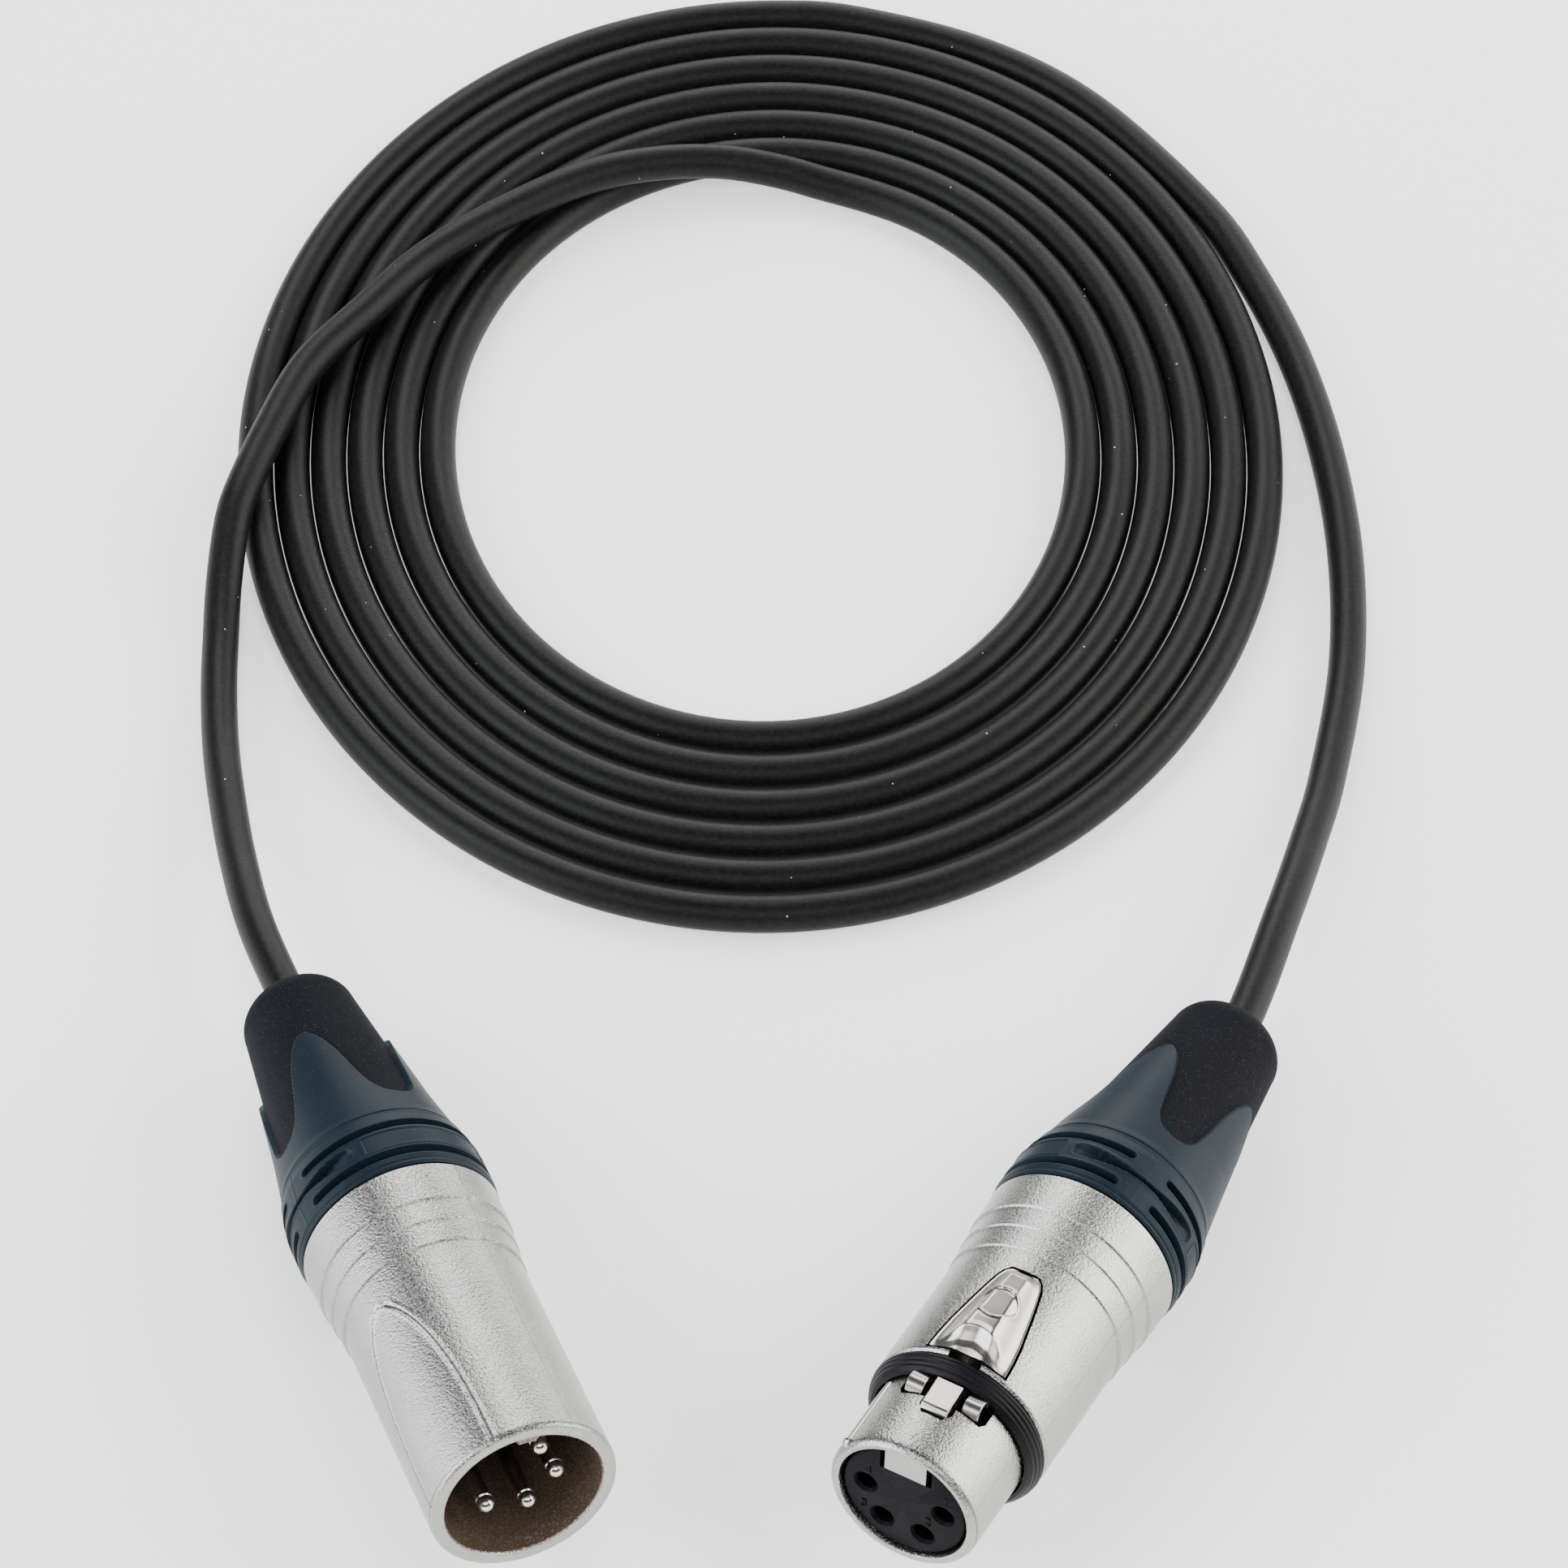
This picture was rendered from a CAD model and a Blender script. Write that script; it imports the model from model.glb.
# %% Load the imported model
import math

import bmesh
import bpy
import numpy as np
from mathutils import Matrix, Vector


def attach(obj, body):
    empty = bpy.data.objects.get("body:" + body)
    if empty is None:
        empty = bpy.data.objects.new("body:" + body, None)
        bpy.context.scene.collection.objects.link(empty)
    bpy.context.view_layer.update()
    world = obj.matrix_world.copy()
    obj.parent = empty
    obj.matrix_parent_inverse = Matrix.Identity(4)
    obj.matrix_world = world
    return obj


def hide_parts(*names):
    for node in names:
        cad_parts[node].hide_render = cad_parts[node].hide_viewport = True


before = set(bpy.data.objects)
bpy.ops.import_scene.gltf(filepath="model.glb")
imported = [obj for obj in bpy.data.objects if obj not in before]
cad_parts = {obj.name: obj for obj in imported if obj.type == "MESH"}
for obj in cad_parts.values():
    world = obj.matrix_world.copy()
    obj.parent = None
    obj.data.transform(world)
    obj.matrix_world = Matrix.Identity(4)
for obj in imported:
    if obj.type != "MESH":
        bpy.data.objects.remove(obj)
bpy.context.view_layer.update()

print("nodes:", len(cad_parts))

# %% [markdown]
# A microphone cable is three things: a long soft cord, and a metal connector on each end.
# Everything on a connector is round about one line, so each connector gets a frame of its
# own: local z runs along that line to the nose, and local x points to the release tab.
# Pieces are worked out in millimetres in that frame and then moved to the table in one go.

# %% The two connector frames
MM = 0.001
COLLAR_R, COLLAR_S = 10.5, -3.0
PITCH_UP = 3.5


def connector_frame(joint, azimuth, roll):
    """Matrix from a connector's millimetres to the table's metres."""
    yaw, pitch = math.radians(azimuth), math.radians(PITCH_UP)
    axis = Vector((math.sin(yaw) * math.cos(pitch), -math.cos(yaw) * math.cos(pitch),
                   math.sin(pitch)))
    side = axis.cross(Vector((0, 0, 1))).normalized()
    up = side.cross(axis)
    basis = Matrix((up, axis.cross(up), axis)).transposed().to_4x4()
    height = COLLAR_R * math.cos(pitch) - COLLAR_S * math.sin(pitch)
    place = Matrix.Translation(Vector((joint[0], joint[1], height)) * MM)
    return place @ basis @ Matrix.Rotation(math.radians(roll), 4, "Z") @ Matrix.Scale(MM, 4)


MALE = connector_frame((-38.05, -77.5), 21.5, 46.0)
FEMALE = connector_frame((28.75, -79.4), -29.2, 0.0)
FRAMES = {"male": MALE, "female": FEMALE}
MALE_END, FEMALE_END = 35.3, 36.7
SHELL_R, BORE_R = 9.5, 8.0
print("male joint", tuple(round(v, 4) for v in MALE.translation))

# %% [markdown]
# The camera looks down at the table at 48 degrees with a long lens, as in a catalogue
# picture, so that near and far parts keep almost the same size. It is set first: every
# later choice of detail depends on what it can see.

# %% Camera
camera_data = bpy.data.cameras.new("camera")
camera_data.lens = 158.4
camera_data.sensor_width = 36.0
camera_data.clip_start = 0.01
camera = bpy.data.objects.new("camera", camera_data)
bpy.context.collection.objects.link(camera)
camera.location = (-0.00035, -0.5009, 0.5483)
camera.rotation_euler = (math.radians(42.0), 0.0, 0.0)
bpy.context.scene.camera = camera
print("camera", tuple(camera.location))

# %% [markdown]
# Shiny metal shows its surroundings more than its own colour. Catalogue pictures of metal
# are lit by large soft boxes with dark gaps between them: the boxes give the broad bright
# sides, and the gaps give the dark streak along the top that makes a tube look round.
# So the world is dim, and area lamps stand where bright reflections are wanted.

# %% Floor, world and lamps
floor_mesh = bpy.data.meshes.new("floor")
floor_mesh.from_pydata([(-3, -3, 0), (3, -3, 0), (3, 3, 0), (-3, 3, 0)], [], [(0, 1, 2, 3)])
floor = bpy.data.objects.new("floor", floor_mesh)
bpy.context.collection.objects.link(floor)

world = bpy.data.worlds.new("studio")
bpy.context.scene.world = world
world.use_nodes = True
world.node_tree.nodes["Background"].inputs["Color"].default_value = (0.9, 0.95, 1.0, 1.0)
world.node_tree.nodes["Background"].inputs["Strength"].default_value = 0.05

LAMP_TARGET = Vector((0.0, -0.04, 0.0))


def soft_box(name, direction, distance, size, radiance, colour=(1, 1, 1)):
    """A rectangular lamp that faces the object; radiance is its own brightness."""
    data = bpy.data.lights.new(name, "AREA")
    data.shape = "RECTANGLE"
    data.size, data.size_y = size
    data.energy = radiance * math.pi * size[0] * size[1]
    data.color = colour
    lamp = bpy.data.objects.new(name, data)
    bpy.context.collection.objects.link(lamp)
    away = Vector(direction).normalized()
    lamp.location = LAMP_TARGET + away * distance
    lamp.rotation_euler = away.to_track_quat("Z", "Y").to_euler()
    return lamp


soft_box("box_left", (-0.98, -0.25, 0.45), 1.1, (1.1, 1.0), 6.9, (0.94, 0.97, 1.0))
soft_box("box_right", (0.95, 0.1, 0.45), 1.1, (1.1, 1.0), 6.9, (1.0, 0.99, 0.96))
soft_box("box_back", (-0.14, 0.76, 0.74), 1.1, (0.42, 1.0), 6.5)
soft_box("box_low_back", (0.27, 0.95, 0.26), 1.2, (0.95, 0.42), 6.2)
soft_box("box_front", (0.1, -0.8, 0.9), 1.3, (1.2, 0.6), 4.0)

# %% [markdown]
# Materials here are small node trees. Writing them node by node is long, so a little class
# wraps a socket: adding or multiplying two of them makes the Math node for it. One method
# makes every other node: its type, its settings, and then its values or links.

# %% A short way to write shader trees


class Wire:
    """A value in a shader tree. Python operators become Math nodes."""

    def __init__(self, shader, socket):
        self.shader = shader
        self.socket = socket

    def math(self, kind, *others):
        return self.shader.node("ShaderNodeMath", {"operation": kind},
                                dict(enumerate((self, *others))))

    def __add__(self, other):
        return self.math("ADD", other)

    def __mul__(self, other):
        return self.math("MULTIPLY", other)

    def __sub__(self, other):
        return self.math("SUBTRACT", other)

    def __rsub__(self, other):
        return self.math("MULTIPLY_ADD", -1.0, other)

    def __truediv__(self, other):
        return self.math("DIVIDE", other)

    __radd__ = __add__
    __rmul__ = __mul__

    def size(self):
        return self.math("ABSOLUTE")

    def step(self, low, high):
        """0 below low, 1 above high, smooth between; low may be the larger one."""
        return self.shader.node("ShaderNodeMapRange", {"interpolation_type": "SMOOTHSTEP"},
                                {"Value": self, "From Min": low, "From Max": high})


class Shader:
    """A material with a Principled surface, and the means to feed it."""

    def __init__(self, name, colour, roughness, metallic=0.0):
        self.material = bpy.data.materials.new(name)
        self.material.use_nodes = True
        self.tree = self.material.node_tree
        self.surface = self.tree.nodes["Principled BSDF"]
        self.colour = (*colour, 1.0)
        self.set("Base Color", self.colour)
        self.set("Roughness", roughness)
        self.set("Metallic", metallic)

    def set(self, name, value):
        if isinstance(value, Wire):
            self.tree.links.new(value.socket, self.surface.inputs[name])
        else:
            self.surface.inputs[name].default_value = value

    def node(self, kind, settings=None, inputs=None, output=0):
        made = self.tree.nodes.new(kind)
        for key, value in (settings or {}).items():
            setattr(made, key, value)
        for key, value in (inputs or {}).items():
            if isinstance(value, Wire):
                self.tree.links.new(value.socket, made.inputs[key])
            else:
                made.inputs[key].default_value = value
        return Wire(self, made.outputs[output])

    def place(self):
        """Position in metres, for grain that is the same size everywhere."""
        return self.node("ShaderNodeTexCoord", output="Object")

    def noise(self, grain_mm, detail=2.0, roughness=0.5):
        return self.node("ShaderNodeTexNoise", inputs={
            "Vector": self.place(), "Scale": 1000.0 / grain_mm, "Detail": detail,
            "Roughness": roughness})

    def mix(self, factor, first, second):
        return self.node("ShaderNodeMix", {"data_type": "RGBA"},
                         {0: factor, 6: first, 7: second}, 2)

    def bump(self, height, depth_mm):
        return self.node("ShaderNodeBump", inputs={
            "Strength": 1.0, "Distance": depth_mm * MM, "Height": height})

    def local(self):
        """x, y and s in a connector's own millimetres, from the mesh's attribute."""
        vector = self.node("ShaderNodeAttribute", {"attribute_name": "axial"}, output="Vector")
        parts = self.node("ShaderNodeSeparateXYZ", inputs={0: vector})
        sockets = parts.socket.node.outputs
        return [Wire(self, socket) for socket in sockets]


def finish_floor():
    shader = Shader("pale_floor", (0.93, 0.93, 0.93), 0.6)
    shader.set("Emission Color", (1.0, 1.0, 1.0, 1.0))
    shader.set("Emission Strength", 0.8)
    return shader.material


floor_mesh.materials.append(finish_floor())

# %% [markdown]
# The cable's jacket is black PVC. It is not quite matt: the soft boxes give it a broad grey
# sheen. A fine speckle in roughness and a shallow bump keep the sheen from looking like
# glass, and slow changes in roughness stand for handling marks.

# %% Jacket and plastics


def finish_jacket():
    shader = Shader("cable_jacket", (0.010, 0.010, 0.011), 0.42)
    shader.set("Specular IOR Level", 0.16)
    grain = shader.noise(0.22, 3.0)
    marks = shader.noise(14.0, 2.0)
    shader.set("Roughness", 0.34 + grain * 0.14 + marks * 0.12)
    tint = shader.noise(0.5, 4.0).step(0.35, 0.8)
    shader.set("Base Color", shader.mix(tint, (0.002, 0.002, 0.002, 1), (0.007, 0.007, 0.007, 1)))
    shader.set("Normal", shader.bump(grain, 0.03))
    return shader.material


def finish_plastic(name, colour, light, roughness, grain_mm, bump_mm, shine=0.25, speck=0.70):
    """Moulded plastic or rubber: an even colour with lighter specks and a fine texture."""
    shader = Shader(name, colour, roughness)
    shader.set("Specular IOR Level", shine)
    grain = shader.noise(grain_mm, 3.0, 0.6)
    specks = grain.step(speck - 0.1, speck)
    shader.set("Base Color", shader.mix(specks, (*colour, 1), (*light, 1)))
    shader.set("Roughness", roughness - 0.08 + grain * 0.16)
    shader.set("Normal", shader.bump(grain, bump_mm))
    return shader.material


MATERIALS = {
    "cable_jacket": finish_jacket(),
    "slate_plastic": finish_plastic("slate_plastic", (0.0060, 0.0125, 0.019),
                                    (0.016, 0.027, 0.036), 0.46, 0.3, 0.012, 0.10),
    "boot_rubber": finish_plastic("boot_rubber", (0.0052, 0.0056, 0.0082),
                                  (0.024, 0.024, 0.030), 0.76, 0.24, 0.03, 0.06, 0.68),
    "ring_rubber": finish_plastic("ring_rubber", (0.002, 0.002, 0.003),
                                  (0.01, 0.01, 0.012), 0.42, 0.3, 0.02, 0.14),
    "black_plastic": finish_plastic("black_plastic", (0.002, 0.002, 0.003),
                                    (0.009, 0.009, 0.010), 0.5, 0.35, 0.02, 0.07),
}
print("plastics:", ", ".join(MATERIALS))

# %% [markdown]
# The shells are zinc castings with a satin nickel plating. Blasting before plating leaves
# a grain of tiny facets, each a small mirror, so the metal sparkles where a bright box and a
# dark gap meet. A shallow bump from fine noise does the same. A hair-thin line where the two
# halves of the mould met runs along each shell. Inside the male bore the plating is thin and
# brownish, which the shader reads from the distance to the axis.

# %% Metals


ARCH_TIP, ARCH_HALF = 13.4, 4.75
MALE_SEAM, FEMALE_SEAM = -1.41, -1.2


def finish_satin(name, seam_turn, is_male):
    """Satin plating; on the male side also the arch's groove and the brown bore."""
    shader = Shader(name, (0.5, 0.49, 0.47), 0.3, 1.0)
    x, y, s = shader.local()
    radius = (x * x + y * y).math("SQRT")
    turn = y.math("ARCTAN2", x)
    grain = shader.noise(0.26, 2.0, 0.6)
    cloud = shader.noise(3.0, 3.0)
    plating = shader.mix(cloud, (0.31, 0.305, 0.295, 1), (0.39, 0.385, 0.37, 1))
    end = MALE_END if is_male else FEMALE_END
    lip = (s - end + 0.5).size().step(0.2, 0.05)
    plating = shader.mix(lip * 0.6, plating, (0.10, 0.094, 0.088, 1))
    seam = ((turn - seam_turn).size() * SHELL_R).step(0.09, 0.03)
    plating = shader.mix(seam * 0.5, plating, (0.16, 0.15, 0.14, 1))
    if is_male:
        share = ((s - ARCH_TIP) / (MALE_END - ARCH_TIP)).math("MAXIMUM", 0.0)
        half = (1 - (1 - share).math("POWER", 2.6)).math("POWER", 0.6) * ARCH_HALF
        groove = (turn.size() * SHELL_R - half - 0.36).size().step(0.20, 0.04)
        groove = groove * s.step(13.3, 13.8)
        outside = radius.step(9.2, 9.35) * s.step(MALE_END - 0.2, MALE_END - 0.5)
        plating = shader.mix(groove * outside * 0.85, plating, (0.05, 0.046, 0.042, 1))
        bore = radius.step(8.12, 8.02) * s.step(11.0, 12.0)
        specks = grain.step(0.56, 0.68)
        brown = shader.mix(specks, (0.11, 0.075, 0.052, 1), (0.6, 0.54, 0.48, 1))
        plating = shader.mix(bore, plating, brown)
        shader.set("Metallic", 1 - bore * (1 - specks) * 0.7)
    shader.set("Base Color", plating)
    shader.set("Roughness", 0.20 + grain * 0.14)
    shader.set("Normal", shader.bump(grain, 0.09))
    return shader.material


def finish_bright(name, colour, roughness, bump_mm):
    """Polished metal with a trace of waviness and fine wear."""
    shader = Shader(name, colour, roughness, 1.0)
    wear = shader.noise(1.6, 2.0)
    shader.set("Roughness", roughness + wear * 0.12)
    shader.set("Base Color", shader.mix(wear, (*[c * 0.86 for c in colour], 1), (*colour, 1)))
    shader.set("Normal", shader.bump(wear, bump_mm))
    return shader.material


MATERIALS["satin_nickel"] = finish_satin("satin_nickel", FEMALE_SEAM, False)
MATERIALS["satin_nickel_male"] = finish_satin("satin_nickel_male", MALE_SEAM, True)
MATERIALS["bright_nickel"] = finish_bright("bright_nickel", (0.46, 0.435, 0.41), 0.2, 0.001)
MATERIALS["silver_contact"] = finish_bright("silver_contact", (0.70, 0.68, 0.65), 0.14, 0.008)
MATERIALS["spring_steel"] = finish_bright("spring_steel", (0.62, 0.62, 0.64), 0.22, 0.01)
for core, colour in (("white", (0.75, 0.75, 0.72)), ("red", (0.55, 0.03, 0.02)),
                     ("blue", (0.02, 0.07, 0.45)), ("yellow", (0.7, 0.5, 0.03))):
    MATERIALS[f"core_{core}"] = finish_plastic(f"core_{core}", colour,
                                               tuple(min(1, c * 1.3) for c in colour),
                                               0.45, 0.3, 0.01)
print("materials:", len(MATERIALS))

# %% [markdown]
# Most pieces are turned: one outline swept about the axis. A lathe made from a grid of
# points does that, and the same grid can carry relief, because the radius of every point may
# depend on its angle. Each vertex also keeps its place in the connector's millimetres, for the
# materials.

# %% Meshes from grids


def add_piece(name, slot, body, points, faces, place, sharp=32.0):
    """Make the mesh of one piece from local millimetres, give it its finish and its body."""
    mesh = bpy.data.meshes.new(name)
    mesh.from_pydata([place @ Vector(p) for p in points], [], faces)
    axial = mesh.attributes.new("axial", "FLOAT_VECTOR", "POINT")
    axial.data.foreach_set("vector", np.asarray(points, dtype=float).ravel())
    shaping = bmesh.new()
    shaping.from_mesh(mesh)
    bmesh.ops.remove_doubles(shaping, verts=shaping.verts, dist=1e-6)
    bmesh.ops.recalc_face_normals(shaping, faces=shaping.faces)
    shaping.to_mesh(mesh)
    shaping.free()
    mesh.shade_smooth()
    mesh.set_sharp_from_angle(angle=math.radians(sharp))
    mesh.materials.append(MATERIALS[slot])
    piece = bpy.data.objects.new(name, mesh)
    bpy.context.collection.objects.link(piece)
    if body is not None:
        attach(piece, body)
    print(f"{name}: {len(mesh.vertices)} points")
    return piece


def dense(profile, step):
    """Split the long sides of an outline of (radius, station) points."""
    result = []
    for (r0, s0), (r1, s1) in zip(profile, profile[1:] + profile[:1]):
        parts = max(1, math.ceil(math.hypot(r1 - r0, s1 - s0) / step))
        result += [(r0 + (r1 - r0) * i / parts, s0 + (s1 - s0) * i / parts)
                   for i in range(parts)]
    return result


def lathe_grid(profile, columns, relief=None):
    """Points and faces of a closed outline swept about the axis.

    relief(radius, station, angle) returns the radius with its relief."""
    outline = np.array(profile)
    radius, station = outline[:, :1], outline[:, 1:]
    angle = np.linspace(0, 2 * np.pi, columns, endpoint=False)[None, :]
    radius, station, angle = np.broadcast_arrays(radius, station, angle)
    if relief is not None:
        radius = relief(radius, station, angle)
    points = np.stack([radius * np.cos(angle), radius * np.sin(angle), station], axis=-1)
    rows = len(profile)
    faces = []
    for j in range(rows):
        low, high = j * columns, (j + 1) % rows * columns
        for i in range(columns):
            k = (i + 1) % columns
            faces.append((low + i, low + k, high + k, high + i))
    return points.reshape(-1, 3), faces


def turned(name, slot, body, profile, place, columns=128, relief=None, step=None):
    outline = dense(profile, step) if step else profile
    points, faces = lathe_grid(outline, columns, relief)
    return add_piece(name, slot, body, points, faces, place)


def smooth(low, high, value):
    share = np.clip((value - low) / (high - low), 0, 1)
    return share * share * (3 - 2 * share)


def line(distance, width):
    """1 on a line and 0 away from it."""
    return np.exp(-(distance / width) ** 2)


# %% [markdown]
# The cord is one piece from connector to connector: it leaves the male boot, climbs over
# the six turns, lies down as the innermost turn, winds outwards, and leaves the coil for the
# female boot. The turns follow a rule, an oval spiral, so their points are computed; only
# the two leads are given as points, because they lie as the cable happened to fall.

# %% The cord's centre line
CABLE_R = 2.0
COIL_CENTRE, COIL_DRIFT = (-2.0, 42.2), -0.09
COIL_START, COIL_PITCH = (33.9, 42.3), (4.05, 4.87)
MALE_ROUTE = [
    (-55.0, -33.6, 7.3), (-57.6, -22.7, 5.3), (-59.3, -13.2, 3.7), (-60.6, -4.0, 2.5),
    (-61.3, 4.7, 2.1), (-61.5, 12.0, 2.2), (-61.5, 19.1, 3.2), (-61.0, 26.0, 4.9),
    (-60.1, 30.5, 5.9), (-57.4, 39.8, 6.1), (-53.6, 50.3, 6.1), (-47.3, 59.3, 6.1),
    (-41.2, 67.4, 6.1), (-33.4, 74.3, 6.1), (-23.9, 80.6, 6.1), (-15.9, 83.7, 5.7),
    (-7.8, 85.2, 4.7), (-1.0, 85.0, 3.4),
]
FEMALE_ROUTE = [
    (52.9, 69.1, 2.0), (57.3, 55.4, 2.0), (60.1, 40.4, 2.0), (61.3, 24.4, 2.0),
    (60.5, 7.9, 2.1), (57.5, -9.0, 3.3), (55.0, -19.0, 4.7), (51.3, -32.0, 6.8),
]


def spiral(turn, height=CABLE_R):
    angle = 2 * math.pi * turn
    return Vector((COIL_CENTRE[0] + (COIL_START[0] + COIL_PITCH[0] * turn) * math.sin(angle),
                   COIL_CENTRE[1] + COIL_DRIFT * turn
                   + (COIL_START[1] + COIL_PITCH[1] * turn) * math.cos(angle), height))


def on_axis(place, station):
    return place @ Vector((0, 0, station)) / MM


def even_route(knots, spacing):
    """Points at even distances along a Catmull-Rom curve through the knots."""
    knots = [2 * knots[0] - knots[1], *knots, 2 * knots[-1] - knots[-2]]
    fine = []
    for a, b, c, d in zip(knots, knots[1:], knots[2:], knots[3:]):
        for n in range(16):
            t = n / 16
            fine.append(0.5 * (2 * b + (c - a) * t + (2 * a - 5 * b + 4 * c - d) * t ** 2
                               + (3 * b - a - 3 * c + d) * t ** 3))
    fine = np.array([tuple(p) for p in fine] + [tuple(knots[-2])])
    along = np.concatenate([[0], np.cumsum(np.linalg.norm(np.diff(fine, axis=0), axis=1))])
    wanted = np.linspace(0, along[-1], round(along[-1] / spacing) + 1)
    return np.stack([np.interp(wanted, along, fine[:, i]) for i in range(3)], axis=1)


def cord_centre_line():
    """From inside the male boot to inside the female one, in metres."""
    knots = [on_axis(MALE, s) for s in (-9, -20, -35)]
    knots += [Vector(p) for p in MALE_ROUTE]
    knots += [spiral(0.03, 2.4), spiral(0.052)]
    knots += [spiral(0.052 + i / 40) for i in range(1, 240)]
    knots += [spiral(t) for t in (6.07, 6.11, 6.16)]
    knots += [Vector(p) for p in FEMALE_ROUTE]
    knots += [on_axis(FEMALE, s) for s in (-35, -20, -9)]
    return even_route(knots, 2.0) * MM


centre_line = cord_centre_line()

# %% [markdown]
# A Geometry Nodes tree is built once in code and then run like any modifier. The tree has a
# named input for the radius. The last steps are always Realize Instances and Set
# Material, and the result is saved as a plain mesh, so nothing is left to compute later.

# %% Geometry Nodes helpers


def new_tree(name, **inputs):
    """An empty tree with geometry in and out and float inputs with these defaults."""
    tree = bpy.data.node_groups.new(name, "GeometryNodeTree")
    tree.interface.new_socket("Geometry", in_out="INPUT", socket_type="NodeSocketGeometry")
    for key, value in inputs.items():
        socket = tree.interface.new_socket(key, in_out="INPUT", socket_type="NodeSocketFloat")
        socket.default_value = value
    tree.interface.new_socket("Geometry", in_out="OUTPUT", socket_type="NodeSocketGeometry")
    return tree, tree.nodes.new("NodeGroupInput"), tree.nodes.new("NodeGroupOutput")


def tree_node(tree, kind, settings=None, inputs=None):
    node = tree.nodes.new(kind)
    for key, value in (settings or {}).items():
        setattr(node, key, value)
    for key, value in (inputs or {}).items():
        if isinstance(value, bpy.types.NodeSocket):
            tree.links.new(value, node.inputs[key])
        else:
            node.inputs[key].default_value = value
    return node


def end_tree(tree, output, geometry, slot):
    """Realize Instances, Set Material, and out."""
    real = tree_node(tree, "GeometryNodeRealizeInstances", inputs={"Geometry": geometry})
    painted = tree_node(tree, "GeometryNodeSetMaterial", inputs={
        "Geometry": real.outputs[0], "Material": MATERIALS[slot]})
    tree.links.new(painted.outputs[0], output.inputs[0])


def grow(name, base, tree, body):
    """Run the tree on base and keep the result as a plain mesh that rides on body."""
    modifier = base.modifiers.new(tree.name, "NODES")
    modifier.node_group = tree
    bpy.context.view_layer.update()
    evaluated = base.evaluated_get(bpy.context.evaluated_depsgraph_get())
    mesh = bpy.data.meshes.new_from_object(evaluated)
    mesh.name = name
    base.modifiers.remove(modifier)
    bpy.data.objects.remove(base)
    piece = bpy.data.objects.new(name, mesh)
    bpy.context.collection.objects.link(piece)
    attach(piece, body)
    print(f"{name}: {len(mesh.vertices)} points")
    return piece


def point_cloud(name, points):
    mesh = bpy.data.meshes.new(name)
    mesh.from_pydata([tuple(p) for p in points], [], [])
    cloud = bpy.data.objects.new(name, mesh)
    bpy.context.collection.objects.link(cloud)
    return cloud


# %% [markdown]
# A real cable is the same circle all the way along, so a circle is swept along the centre
# line. The line is a curve object, and Curve to Mesh carries the circle along it without a
# twist and closes both ends.

# %% Sweep the cord


def sweep_tree():
    tree, given, output = new_tree("sweep", Radius=CABLE_R * MM)
    circle = tree_node(tree, "GeometryNodeCurvePrimitiveCircle",
                       inputs={"Resolution": 24, "Radius": given.outputs["Radius"]})
    swept = tree_node(tree, "GeometryNodeCurveToMesh", inputs={
        "Curve": given.outputs[0], "Profile Curve": circle.outputs[0], "Fill Caps": True})
    even = tree_node(tree, "GeometryNodeSetShadeSmooth", inputs={0: swept.outputs[0]})
    end_tree(tree, output, even.outputs[0], "cable_jacket")
    return tree


line_curve = bpy.data.curves.new("cord_line", "CURVE")
line_curve.dimensions = "3D"
line_curve.splines.new("POLY")
line_curve.splines[0].points.add(len(centre_line) - 1)
for target, point in zip(line_curve.splines[0].points, centre_line):
    target.co = (*point, 1.0)
cord_base = bpy.data.objects.new("cord_line", line_curve)
bpy.context.collection.objects.link(cord_base)
cord = grow("cord", cord_base, sweep_tree(), "cable")
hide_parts("cable_coil", "cable_lead_male", "cable_lead_female")

# %% [markdown]
# New black cable always picks up a little dust. The specks are tiny pale grains scattered
# over the cord by Geometry Nodes with a fixed seed, so that every run puts them in the
# same places.

# %% Dust on the cord


def finish_dust():
    shader = Shader("dust", (0.5, 0.5, 0.48), 0.9)
    shade = shader.noise(0.6, 2.0)
    shader.set("Base Color", shader.mix(shade, (0.22, 0.22, 0.21, 1), (0.75, 0.75, 0.72, 1)))
    return shader.material


MATERIALS["dust"] = finish_dust()
DUST_PER_M2 = 5000.0


def dust_tree():
    tree, given, output = new_tree("dust", Density=DUST_PER_M2)
    spread = tree_node(tree, "GeometryNodeDistributePointsOnFaces", {"distribute_method": "RANDOM"},
                       {"Mesh": given.outputs[0], "Density": given.outputs["Density"], "Seed": 7})
    grain = tree_node(tree, "GeometryNodeMeshIcoSphere", inputs={"Radius": 0.08 * MM,
                                                                 "Subdivisions": 1})
    size = tree_node(tree, "FunctionNodeRandomValue", {"data_type": "FLOAT"},
                     {2: 0.4, 3: 1.5, "Seed": 3})
    placed = tree_node(tree, "GeometryNodeInstanceOnPoints", inputs={
        "Points": spread.outputs["Points"], "Instance": grain.outputs["Mesh"],
        "Scale": size.outputs[1]})
    end_tree(tree, output, placed.outputs[0], "dust")
    return tree


dust_base = bpy.data.objects.new("dust_base", cord.data.copy())
bpy.context.collection.objects.link(dust_base)
dust = grow("cord_dust", dust_base, dust_tree(), "cable")

# %% [markdown]
# The male shell is a plain tube outside, with three fine steps near its rear. On the
# release side a pointed-arch panel is framed by a thin raised edge with a groove beside it.
# Both are shallow, so they are relief on the lathe's grid: the distance to the arch decides
# how far each point is lifted. A ridge in the bore guides the other connector.

# %% Male shell
SHELL_REAR = [(10.35, 0.0), (10.2, 4.35), (10.02, 4.5), (9.93, 6.95), (9.77, 7.1),
              (9.68, 9.65), (9.5, 9.8)]
KEY_RIDGE_TURN = math.radians(-52.0)


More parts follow.
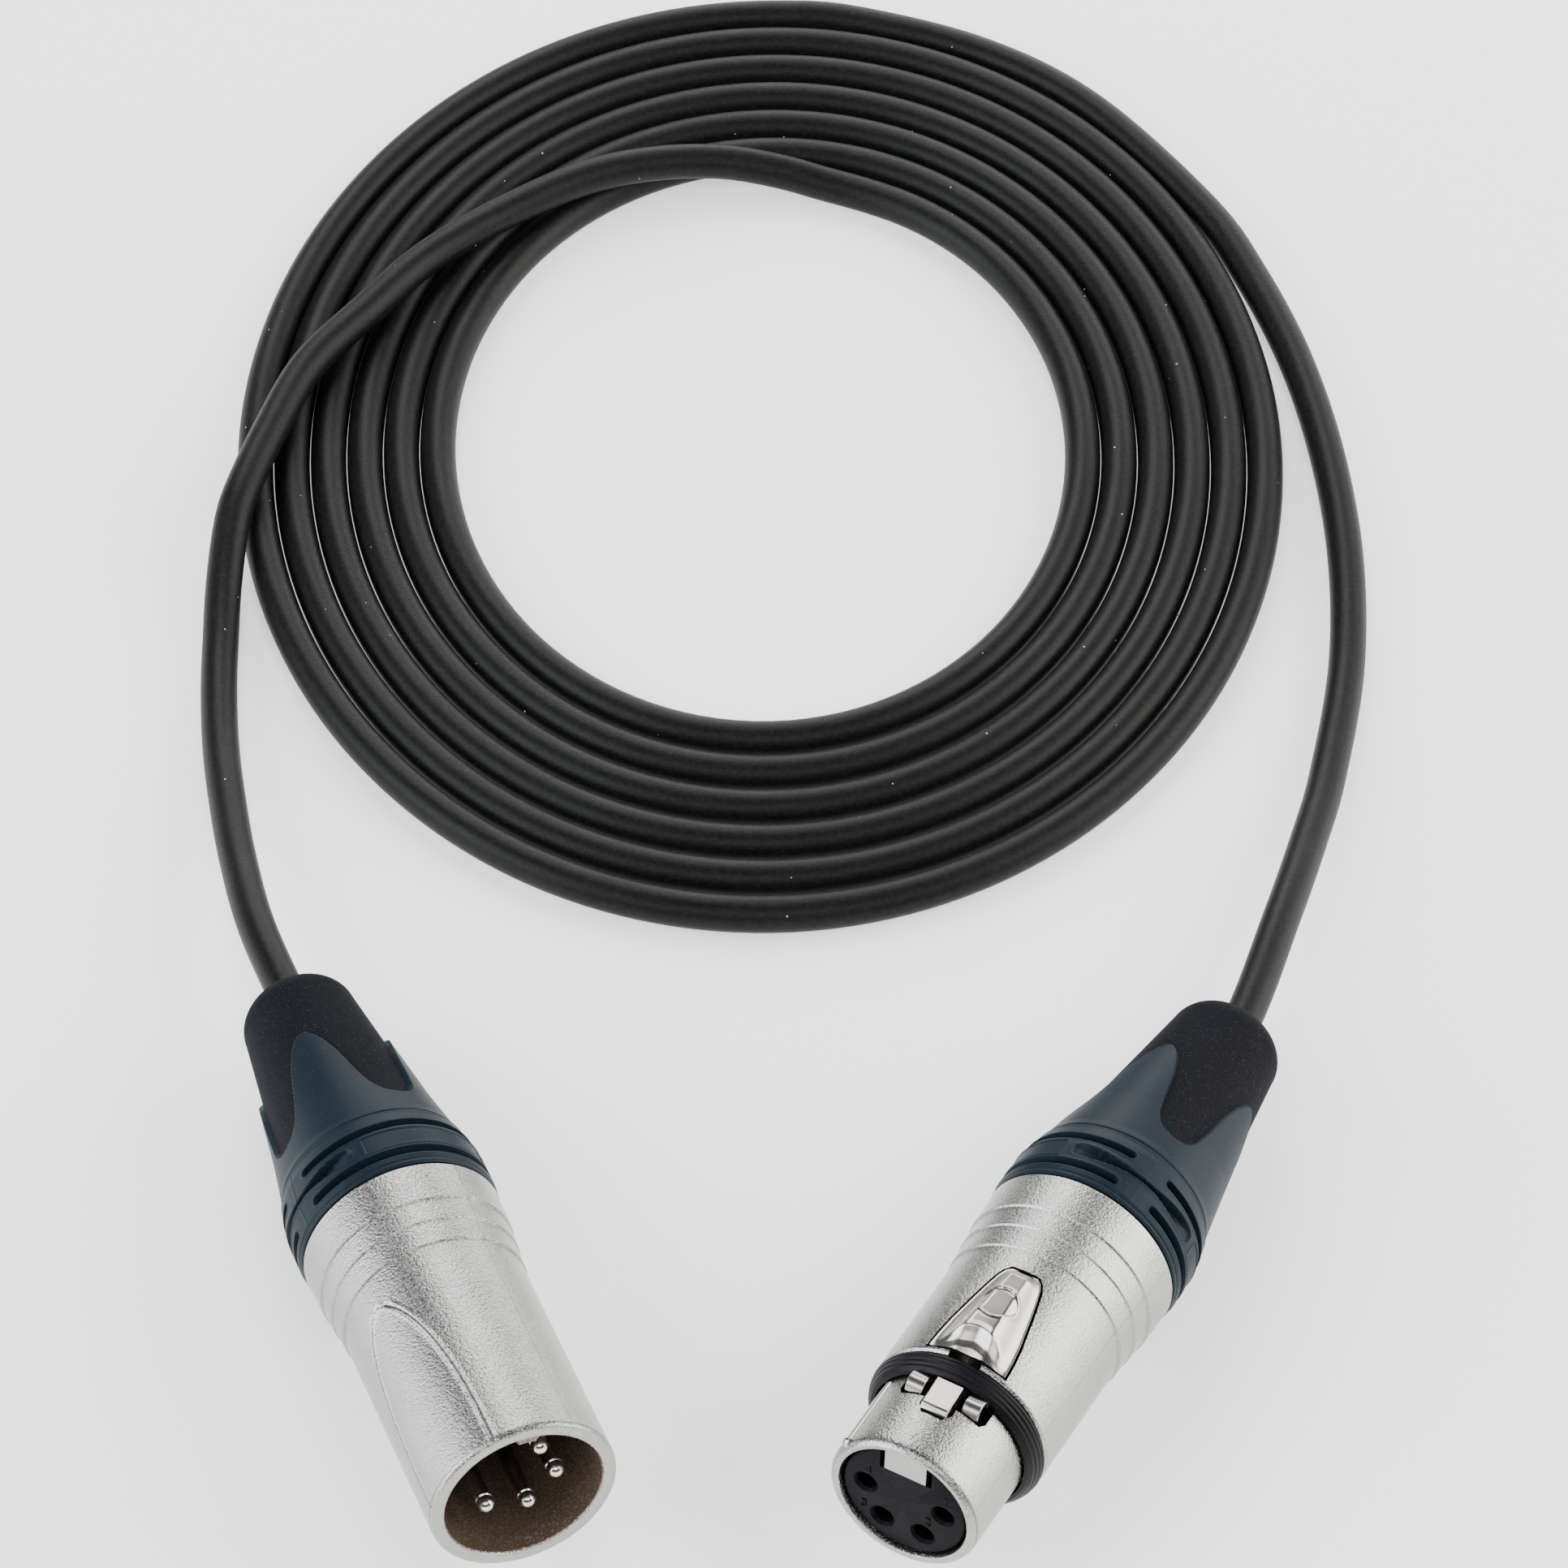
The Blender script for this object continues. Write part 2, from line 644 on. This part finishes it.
def arch_half_width(station):
    share = np.clip((station - ARCH_TIP) / (MALE_END - ARCH_TIP), 0, 1)
    return ARCH_HALF * (1 - (1 - share) ** 2.6) ** 0.6 - np.maximum(ARCH_TIP - station, 0)


def male_shell_relief(radius, station, angle):
    turn = (angle + np.pi) % (2 * np.pi) - np.pi
    slope = (arch_half_width(station + 0.05) - arch_half_width(station - 0.05)) / 0.1
    edge = (np.abs(turn) * SHELL_R - arch_half_width(station)) / np.sqrt(1 + slope ** 2)
    outside = smooth(9.0, 9.3, radius) * smooth(10.0, 10.6, station)
    outside = outside * smooth(MALE_END - 0.1, MALE_END - 0.55, station)
    lift = 0.03 * smooth(0.1, -0.2, edge) + 0.12 * line(edge, 0.13)
    lift = lift - 0.09 * line(edge - 0.34, 0.12)
    lift = lift + 0.08 * line(edge - 0.62, 0.11) * smooth(0.0, -0.1, turn)
    ridge = np.abs((angle - KEY_RIDGE_TURN + np.pi) % (2 * np.pi) - np.pi) * BORE_R
    bore = smooth(8.1, 8.0, radius) * smooth(20.0, 20.6, station)
    return radius + outside * lift - bore * 0.75 * smooth(1.3, 0.9, ridge)


def male_shell():
    end = MALE_END
    outside = [(9.0, 0.0), *SHELL_REAR]
    panel = [(SHELL_R, s) for s in np.arange(10.0, end - 0.65, 0.17)]
    rim = [(SHELL_R, end - 0.6), (9.47, end - 0.35), (9.36, end - 0.12), (9.15, end), (8.4, end),
           (8.15, end - 0.08), (BORE_R, end - 0.3)]
    bore = [(BORE_R, s) for s in np.arange(end - 0.5, 19.0, -0.8)]
    inside = [(BORE_R, 11.7), (6.9, 11.7), (6.9, 5.4), (9.0, 5.4)]
    outline = outside + panel + rim + bore + inside
    shell = turned("male_shell_skin", "satin_nickel", "cable", outline, MALE, 460,
                   male_shell_relief)
    shell.data.materials[0] = MATERIALS["satin_nickel_male"]
    return shell


male_shell_piece = male_shell()
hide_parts("male_shell")

# %% [markdown]
# The four pins are silver-plated rods with a domed tip and a fine groove behind it. They are
# all the same, so one pin is turned and Geometry Nodes put a copy on each of four points.

# %% Male insert and pins
CONTACT_R = 4.2
CONTACT_ANGLES = [math.radians(a) for a in (-85.5, -148.5, 148.5, 85.5)]
CONTACTS = [(CONTACT_R * math.cos(a), CONTACT_R * math.sin(a)) for a in CONTACT_ANGLES]
PIN_R, CUP_R = 0.85, 1.2


def pin_profile():
    tip = MALE_END - 1.9
    dome = [(PIN_R * math.sin(math.radians(a)), tip - 0.75 * (1 - math.cos(math.radians(a))))
            for a in range(6, 90, 12)]
    return [(0.0, tip), *dome, (PIN_R, tip - 0.95), (PIN_R - 0.09, tip - 1.05),
            (PIN_R - 0.09, tip - 1.3), (PIN_R, tip - 1.4), (PIN_R, 11.4),
            (CUP_R, 11.3), (CUP_R, 8.0), (0.85, 8.0), (0.85, 10.2), (0.0, 10.2)]


def pins_tree(pin):
    tree, given, output = new_tree("pins")
    source = tree_node(tree, "GeometryNodeObjectInfo", {"transform_space": "ORIGINAL"},
                       {"Object": pin})
    placed = tree_node(tree, "GeometryNodeInstanceOnPoints", inputs={
        "Points": given.outputs[0], "Instance": source.outputs["Geometry"]})
    even = tree_node(tree, "GeometryNodeSetShadeSmooth", inputs={0: placed.outputs[0]})
    end_tree(tree, output, even.outputs[0], "silver_contact")
    return tree


def four_pins():
    turn_only = MALE.copy()
    turn_only.translation = (0, 0, 0)
    pin = turned("one_pin", "silver_contact", None, pin_profile(), turn_only, 32)
    base = point_cloud("pin_points", [MALE @ Vector((x, y, 0)) for x, y in CONTACTS])
    pins = grow("male_pins", base, pins_tree(pin), "cable")
    bpy.data.objects.remove(pin)
    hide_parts(*[f"male_pin_{n}" for n in (1, 2, 3, 4)])
    return pins


pins_piece = four_pins()

INSERT_FACE = MALE_END - 15.5
male_insert_piece = turned(
    "male_insert_disc", "black_plastic", "cable",
    [(0.0, 12.0), (7.7, 12.0), (7.7, INSERT_FACE - 0.3), (7.4, INSERT_FACE),
     (6.2, INSERT_FACE), (6.0, INSERT_FACE - 0.3), (0.0, INSERT_FACE - 0.3)], MALE, 96)
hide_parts("male_insert")

# %% [markdown]
# The female shell has the same rear and a narrower nose. It has three cut-outs: a window
# for the release tab, a slot for the locking peg, and a cross slot for two ground contacts.
# Crisp holes are best cut with booleans, so each cutter is a closed solid that reaches
# through the wall.

# %% Cutting helpers


def closed_outline(half, grow_by=0.0):
    """Mirror (half width, station) points into a closed outline of (y, s)."""
    right = [(half[0][0] + grow_by * 0.6, half[0][1] - grow_by)]
    right += [(w + grow_by, s) for w, s in half[1:-1]]
    right += [(half[-1][0] + grow_by, half[-1][1] + grow_by)]
    return right + [(-w, s) for w, s in reversed(right)]


def prism(name, slot, outline, low, high, place, body=None, along="x"):
    """A solid with this outline: (y, s) points carried along x, or (x, s) along y."""
    ends = []
    for depth in (low, high):
        ends += [(depth, a, s) if along == "x" else (a, depth, s) for a, s in outline]
    count = len(outline)
    faces = [tuple(range(count)), tuple(range(2 * count - 1, count - 1, -1))]
    faces += [(i, (i + 1) % count, count + (i + 1) % count, count + i) for i in range(count)]
    return add_piece(name, slot, body, ends, faces, place)


def keep_result(piece, kind, settings):
    """Apply one modifier to a piece at once and drop it."""
    modifier = piece.modifiers.new(kind, kind)
    for key, value in settings.items():
        setattr(modifier, key, value)
    evaluated = piece.evaluated_get(bpy.context.evaluated_depsgraph_get())
    mesh = bpy.data.meshes.new_from_object(evaluated)
    piece.modifiers.remove(modifier)
    piece.data = mesh
    mesh.name = piece.name


def cut(piece, cutter):
    keep_result(piece, "BOOLEAN", {"operation": "DIFFERENCE", "solver": "EXACT",
                                   "object": cutter})
    bpy.data.objects.remove(cutter)


def round_edges(piece, width_mm, segments=3):
    keep_result(piece, "BEVEL", {"width": width_mm * MM, "segments": segments,
                                 "limit_method": "ANGLE", "harden_normals": False})


# %% [markdown]
# The shell is turned first and then cut. The window is the release tab's own outline, grown
# a little all round, so the gap beside the tab is the same width everywhere.

# %% Female shell
LATCH_OUTLINE = [(1.35, 12.4), (1.85, 12.75), (2.25, 13.6), (2.6, 15.0), (3.0, 16.9),
                 (3.35, 18.7), (3.7, 20.5), (3.95, 22.4), (4.1, 24.3)]
NOSE_S, NOSE_R = 25.0, 8.0
WINDOW_GAP = 0.28


def female_shell():
    end = FEMALE_END
    profile = [(9.0, 0.0), *SHELL_REAR, (SHELL_R, 17.0), (SHELL_R, NOSE_S - 0.5),
               (9.42, NOSE_S - 0.2),
               (9.2, NOSE_S), (NOSE_R, NOSE_S), (NOSE_R, end - 1.1), (7.94, end - 0.55),
               (7.78, end - 0.2), (7.5, end), (7.15, end), (6.95, end - 0.12),
               (6.85, end - 0.4), (6.85, NOSE_S - 1.2), (8.1, NOSE_S - 1.4), (8.1, 12.5),
               (6.9, 12.3), (6.9, 5.4), (9.0, 5.4)]
    shell = turned("female_shell_skin", "satin_nickel", "cable", profile, FEMALE, 192)
    window = closed_outline(LATCH_OUTLINE, WINDOW_GAP)
    cut(shell, prism("window", "satin_nickel", window, 4, 12, FEMALE))
    slot = [(-1.75, 24.0), (1.75, 24.0), (1.75, 30.6), (1.1, 31.6), (-1.1, 31.6), (-1.75, 30.6)]
    cut(shell, prism("peg_slot", "satin_nickel", slot, 4, 12, FEMALE))
    tabs = [(-4.6, 26.8), (4.6, 26.8), (4.6, 29.0), (4.2, 29.7), (-4.2, 29.7), (-4.6, 29.0)]
    cut(shell, prism("tab_slot", "satin_nickel", tabs, 4, 12, FEMALE))
    shell.data.set_sharp_from_angle(angle=math.radians(32))
    return shell


female_shell_piece = female_shell()
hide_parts("female_shell")

# %% [markdown]
# Two small features of the nose are pieces laid on the shell: a long guide rib that
# ends in a little ball at the rim, and the light tongue that fills the top of the face.

# %% Rib and tongue on the nose
RIB_TURN = math.radians(54.0)


def nose_rib():
    stations = [27.2, 27.6, *np.arange(28.5, 35.6, 1.0), 35.7, 35.85, 36.0, 36.25, 36.45, 36.6]
    sizes = [0.05, 0.42] + [0.45] * (len(stations) - 8) + [0.45, 0.62, 0.68, 0.62, 0.4, 0.05]
    points, faces, columns = [], [], 20
    for s, size in zip(stations, sizes):
        for i in range(columns):
            a = 2 * math.pi * i / columns
            r, side = 7.78 + size * math.cos(a), 1.1 * size * math.sin(a)
            points.append((r * math.cos(RIB_TURN) - side * math.sin(RIB_TURN),
                           r * math.sin(RIB_TURN) + side * math.cos(RIB_TURN), s))
    for j in range(len(stations) - 1):
        for i in range(columns):
            k = (i + 1) % columns
            faces.append((j * columns + i, j * columns + k, (j + 1) * columns + k,
                          (j + 1) * columns + i))
    faces.append(tuple(range(columns)))
    faces.append(tuple(range((len(stations) - 1) * columns, len(stations) * columns)))
    return add_piece("nose_rib", "bright_nickel", "cable", points, faces, FEMALE)


rib_piece = nose_rib()
tongue_piece = prism("nose_tongue", "satin_nickel", [(-2.25, 34.6), (2.25, 34.6), (2.25, 36.45),
                                                    (-2.25, 36.45)], 3.85, 7.3, FEMALE, "cable")
round_edges(tongue_piece, 0.08)

# %% [markdown]
# The release tab is a polished lever, narrow and round at the rear and wider at the front.
# Its crown is high along the middle and runs down to the shell at both sides; the front
# falls away in a hollow curve to the rubber ring. A plain round medallion with a raised rim
# sits on it.
# A grid across the tab's outline, with the height of each point worked out, gives all of that.

# %% Release tab
MEDAL_S, MEDAL_R = 18.1, 2.0
TAB_CREST = [(12.45, 9.35), (12.9, 9.9), (13.8, 10.5), (16.0, 10.85), (19.0, 11.0),
             (21.2, 11.15), (21.8, 11.1), (22.3, 10.5), (22.9, 9.9), (23.5, 9.6), (24.3, 9.45)]


def tab_height(y, station, half):
    """Height of the tab's top over the axis, and the fall towards its sides and its front."""
    across = np.abs(y) / half
    lip_delay = 1.9 * across ** 1.6
    crest = np.interp(station - lip_delay * smooth(19.0, 22.3, station), *zip(*TAB_CREST))
    edge = np.sqrt(9.45 ** 2 - half ** 2) + 0.05
    top = edge + (crest - edge) * (1 - smooth(0.3, 1.0, across) * 0.999)
    ring = np.hypot(y, station - MEDAL_S)
    top = top + 0.16 * line(ring - MEDAL_R, 0.17) - 0.07 * smooth(MEDAL_R, MEDAL_R - 0.25, ring)
    return top


def tab_points(rows, columns):
    stations = np.linspace(LATCH_OUTLINE[0][1], LATCH_OUTLINE[-1][1], rows)
    widths, places = zip(*LATCH_OUTLINE)
    half = np.interp(stations, places, widths)[:, None]
    across = np.sin(np.linspace(-np.pi / 2, np.pi / 2, columns))[None, :]
    y = half * across
    station = np.broadcast_to(stations[:, None], y.shape)
    top = np.stack([tab_height(y, station, half), y, station], axis=-1)
    low = np.stack([np.full(y.shape, 7.9), y, station], axis=-1)
    return top, low


def release_tab():
    rows, columns = 110, 90
    top, low = tab_points(rows, columns)
    points = np.concatenate([top.reshape(-1, 3), low.reshape(-1, 3)])
    under = rows * columns
    faces = []
    for j in range(rows - 1):
        for i in range(columns - 1):
            a = j * columns + i
            faces.append((a, a + 1, a + columns + 1, a + columns))
            faces.append(tuple(under + v for v in (a, a + columns, a + columns + 1, a + 1)))
    border = list(range(columns))
    border += [j * columns + columns - 1 for j in range(1, rows)]
    border += [(rows - 1) * columns + i for i in range(columns - 2, -1, -1)]
    border += [j * columns for j in range(rows - 2, 0, -1)]
    for a, b in zip(border, border[1:] + border[:1]):
        faces.append((a, b, under + b, under + a))
    return add_piece("release_tab", "bright_nickel", "female_latch", points, faces, FEMALE, 40)


tab_piece = release_tab()
peg_outline = [(8.85, 27.6), (8.8, 28.4), (8.5, 30.8), (8.1, 31.25), (5.6, 31.25), (5.6, 24.0),
               (7.6, 22.0), (7.9, 22.0), (7.9, 24.0), (7.2, 25.2), (7.2, 27.5)]
peg_piece = prism("locking_peg", "bright_nickel", peg_outline, -1.42, 1.42, FEMALE,
                  "female_latch", along="y")
round_edges(peg_piece, 0.13)
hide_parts("female_latch")
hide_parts("female_latch")

# %% [markdown]
# Beside the peg two ends of the ground spring curl out of the shell, each a narrow strip bent
# over like a wave. The strip is an arc with a thickness, carried sideways.

# %% Ground contacts and rubber ring


def curled_tab(name, low, high):
    outer, inner = [], []
    for degrees in range(-10, 191, 12):
        a = math.radians(degrees)
        outer.append((7.25 + 1.22 * math.sin(a), 28.35 - 1.18 * math.cos(a)))
        inner.append((7.25 + 0.9 * math.sin(a), 28.35 - 0.86 * math.cos(a)))
    piece = prism(name, "bright_nickel", outer + inner[::-1], low, high, FEMALE, "cable",
                  along="y")
    round_edges(piece, 0.08, 2)
    return piece


left_tab = curled_tab("ground_tab_left", 2.15, 3.95)
right_tab = curled_tab("ground_tab_right", -3.95, -2.15)
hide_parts("female_ground_spring")
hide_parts("female_ground_spring")


def ring_relief(radius, station, angle):
    ribs = 0.035 * np.cos(station * 2 * np.pi / 0.42) * smooth(8.7, 9.0, radius)
    return radius + ribs


ring_profile = [(8.25, 25.15), (9.2, 25.15), (9.42, 25.3), (9.46, 25.6), (9.4, 26.0),
                (9.2, 26.5), (8.9, 27.0), (8.6, 27.25), (8.25, 27.3)]
ring_piece = turned("shoulder_ring", "ring_rubber", "cable", ring_profile, FEMALE, 128,
                    ring_relief, 0.06)
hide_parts("female_ring")

# %% [markdown]
# The face of the female side is a black plastic disc with four holes and a wide groove for
# the tongue. The holes carry the contact numbers 1 to 4, as on every connector of this
# kind. Text objects give the digits their shape; they are turned to the face and become mesh.

# %% Female insert with numerals
FACE_S = FEMALE_END - 0.45


def female_insert():
    profile = [(0.0, 12.9), (6.6, 12.9), (6.6, FACE_S - 0.25), (6.5, FACE_S - 0.08),
               (6.35, FACE_S), (0.0, FACE_S)]
    disc = turned("female_insert_disc", "black_plastic", "cable", profile, FEMALE, 96)
    for number, (x, y) in enumerate(CONTACTS, start=1):
        mouth = [(0.0, 27.0), (1.1, 27.0), (1.1, FACE_S - 0.35), (1.34, FACE_S + 0.02),
                 (1.34, FACE_S + 1), (0.0, FACE_S + 1)]
        place = FEMALE @ Matrix.Translation((x, y, 0))
        cut(disc, turned(f"hole_{number}", "black_plastic", None, mouth, place, 40))
    groove = [(-2.8, 12.0), (2.8, 12.0), (2.8, FACE_S + 1), (-2.8, FACE_S + 1)]
    cut(disc, prism("groove", "black_plastic", groove, 3.6, 8.0, FEMALE))
    disc.data.set_sharp_from_angle(angle=math.radians(32))
    return disc


insert_piece = female_insert()
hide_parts("female_insert")


def numeral(text, x, y, height=1.5):
    data = bpy.data.curves.new(f"digit_{text}", "FONT")
    data.body = text
    data.size = height
    data.extrude = 0.09
    data.align_x, data.align_y = "CENTER", "CENTER"
    shape = bpy.data.objects.new(f"digit_{text}", data)
    bpy.context.collection.objects.link(shape)
    bpy.context.view_layer.update()
    flat = bpy.data.meshes.new_from_object(
        shape.evaluated_get(bpy.context.evaluated_depsgraph_get()))
    bpy.data.objects.remove(shape)
    points = [(x + v.co.y, y - v.co.x, FACE_S + v.co.z) for v in flat.vertices]
    faces = [tuple(p.vertices) for p in flat.polygons]
    return add_piece(f"numeral_{text}", "black_plastic", "cable", points, faces, FEMALE)


NUMERAL_SHIFTS = ((2.25, -0.2), (2.1, -0.5), (0.7, 2.05), (1.9, -0.2))
for index, (shift_x, shift_y) in enumerate(NUMERAL_SHIFTS):
    contact_x, contact_y = CONTACTS[index]
    numeral(str(index + 1), contact_x + shift_x, contact_y + shift_y)

# %% [markdown]
# The screw collar is the most detailed piece. Two rows of long slots and a row of
# finger scoops run round it, mirrored about a fine parting line that comes twice round,
# with a blank framed panel between the scoops. Behind a bead, four petals reach back
# over the rubber boot. All of that is height over one grid of station and angle. Between
# the petals the grid dives under the boot's surface, so the boot shows there.

# %% Collar relief
COLLAR = [(0.0, 10.3), (0.3, 10.3), (0.5, 10.42), (1.2, 10.5), (4.8, 10.5), (7.0, 10.2),
          (8.4, 9.85), (9.5, 9.55), (12.0, 9.1), (15.0, 8.6), (20.0, 7.95), (24.6, 7.35)]
BOOT = [(11.0, 8.75), (12.0, 8.55), (15.0, 8.05), (20.0, 7.4), (24.6, 6.85), (31.5, 6.02)]
NOTCH = [(12.0, 0.0), (12.1, 0.8), (12.4, 1.45), (13.0, 2.0), (14.0, 2.5), (16.0, 2.95),
         (18.0, 3.25), (20.0, 3.6), (22.0, 4.15), (23.2, 4.7), (23.9, 5.3), (24.2, 6.0)]
SLOT_ROWS, SCOOP_ROW, BEAD = (2.1, 6.1), 4.12, 8.45
FRONT_LIP = 0.85


def collar_height(back, turn):
    """Radius of the collar at a distance behind the shell and a turn from a parting line."""
    height = np.interp(back, *zip(*COLLAR))
    fold = np.abs((turn + np.pi / 2) % np.pi - np.pi / 2)
    arc = fold * COLLAR_R
    for row in SLOT_ROWS:
        edge = np.hypot(np.maximum(2.5 - arc, 0), back - row) - 0.4
        height = height - 1.0 * smooth(0.07, -0.12, edge) + 0.05 * line(edge - 0.2, 0.12)
    half = 0.16 + 0.62 * smooth(0.5, 6.6, arc)
    scoop = np.where(arc < 7.2, np.abs(back - SCOOP_ROW) - half,
                     np.hypot(arc - 7.2, back - SCOOP_ROW) - 0.78)
    depth = 1.0 - 0.72 * smooth(4.6, 7.9, arc)
    height = height - depth * smooth(0.07, -0.2, scoop) + 0.05 * line(scoop - 0.2, 0.12)
    frame_edge = np.maximum(9.1 - arc, np.abs(back - SCOOP_ROW) - 1.12)
    height = height + 0.09 * line(frame_edge, 0.11) - 0.05 * smooth(0.0, -0.2, frame_edge)
    height = height - 0.16 * line(back - BEAD, 0.10) + 0.05 * line(back - BEAD + 0.28, 0.12)
    height = height - 0.08 * line(back - FRONT_LIP, 0.10)
    seam = smooth(0.6, 1.0, back) * smooth(8.3, 8.0, back)
    return height + 0.05 * line(arc, 0.07) * seam


def notch_edge(back, turn):
    """Distance into a notch between petals, in mm; negative on a petal."""
    fold = np.abs((turn + np.pi / 4) % (np.pi / 2) - np.pi / 4)
    arc = fold * np.interp(back, *zip(*COLLAR))
    half = np.interp(back, *zip(*NOTCH)) - 8 * np.maximum(12.0 - back, 0)
    slope = np.gradient(half, axis=0) / np.maximum(np.gradient(back, axis=0), 1e-6)
    return (half - arc) / np.sqrt(1 + np.minimum(slope ** 2, 9.0))


def collar_relief(first_notch):
    def relief(radius, station, angle):
        back, turn = -station, angle - first_notch
        outer = radius > 9.99
        height = collar_height(back, turn)
        hidden = np.interp(back, *zip(*BOOT)) - 0.4
        edge = notch_edge(back, turn)
        away = smooth(-0.12, 0.22, edge) * smooth(10.5, 11.5, back)
        away = np.maximum(away, smooth(24.0, 24.3, back))
        return np.where(outer, height + (hidden - height) * away, radius)
    return relief


def collar_profile():
    """The outer rows carry radius 10 as a mark that relief decides them."""
    front = [(10.0, -s) for s in np.arange(0.3, 9.2, 0.11)]
    petals = [(10.0, -s) for s in np.arange(9.2, 24.4, 0.15)]
    inside = [(6.0, -24.4), (6.9, -15.5), (7.6, -11.5), (7.6, -10.6), (7.6, 4.8), (8.7, 4.8),
              (8.7, -0.3)]
    return front + petals + inside


# %% [markdown]
# The boot is soft rubber, moulded round the collar's inside, so it is one smooth turned form.
# Its bore is a little wider than the cord, because the boot slides back along the cord when
# the collar is unscrewed. Both connectors use the same two forms, turned differently.

# %% Collars and boots


def boot_profile():
    """The boot's outline from under the collar to its rounded rear, and back up the bore."""
    side = [(r, -s) for s, r in BOOT]
    rear = [(2.3 + 3.72 * math.cos(a), -31.5 - 3.5 * math.sin(a))
            for a in np.linspace(0.12, math.pi / 2, 16)]
    return side + rear + [(BOOT_BORE_R, -34.9), (BOOT_BORE_R, -11.0), (7.3, -11.0)]


BOOT_BORE_R = 2.25
NOTCH_TURNS = {"male": math.radians(15.5), "female": math.radians(-25.0)}
collars, boots = {}, {}
for side, place in FRAMES.items():
    collars[side] = turned(f"{side}_collar", "slate_plastic", f"{side}_bushing", collar_profile(),
                           place, 440, collar_relief(NOTCH_TURNS[side]))
    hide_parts(f"{side}_bushing")
    boots[side] = turned(f"{side}_boot_sleeve", "boot_rubber", f"{side}_bushing", boot_profile(),
                         place, 128)
    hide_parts(f"{side}_boot")

# %% [markdown]
# What is left of the CAD model stays as it is, inside the connectors, and only gets a
# finish: the jaws that grip the cable, the four cores, the contact sockets and the spring.

# %% Finishes for the pieces that stay
STAYING = {"male_chuck": "black_plastic", "female_chuck": "black_plastic",
           "latch_spring": "spring_steel"}
for number, core in enumerate(("white", "red", "blue", "yellow"), start=1):
    STAYING[f"male_wire_{number}"] = f"core_{core}"
    STAYING[f"female_wire_{number}"] = f"core_{core}"
    STAYING[f"female_socket_{number}"] = "silver_contact"
for node, slot in STAYING.items():
    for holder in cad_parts[node].material_slots:
        holder.material = MATERIALS[slot]
print("kept from the model:", len(STAYING))
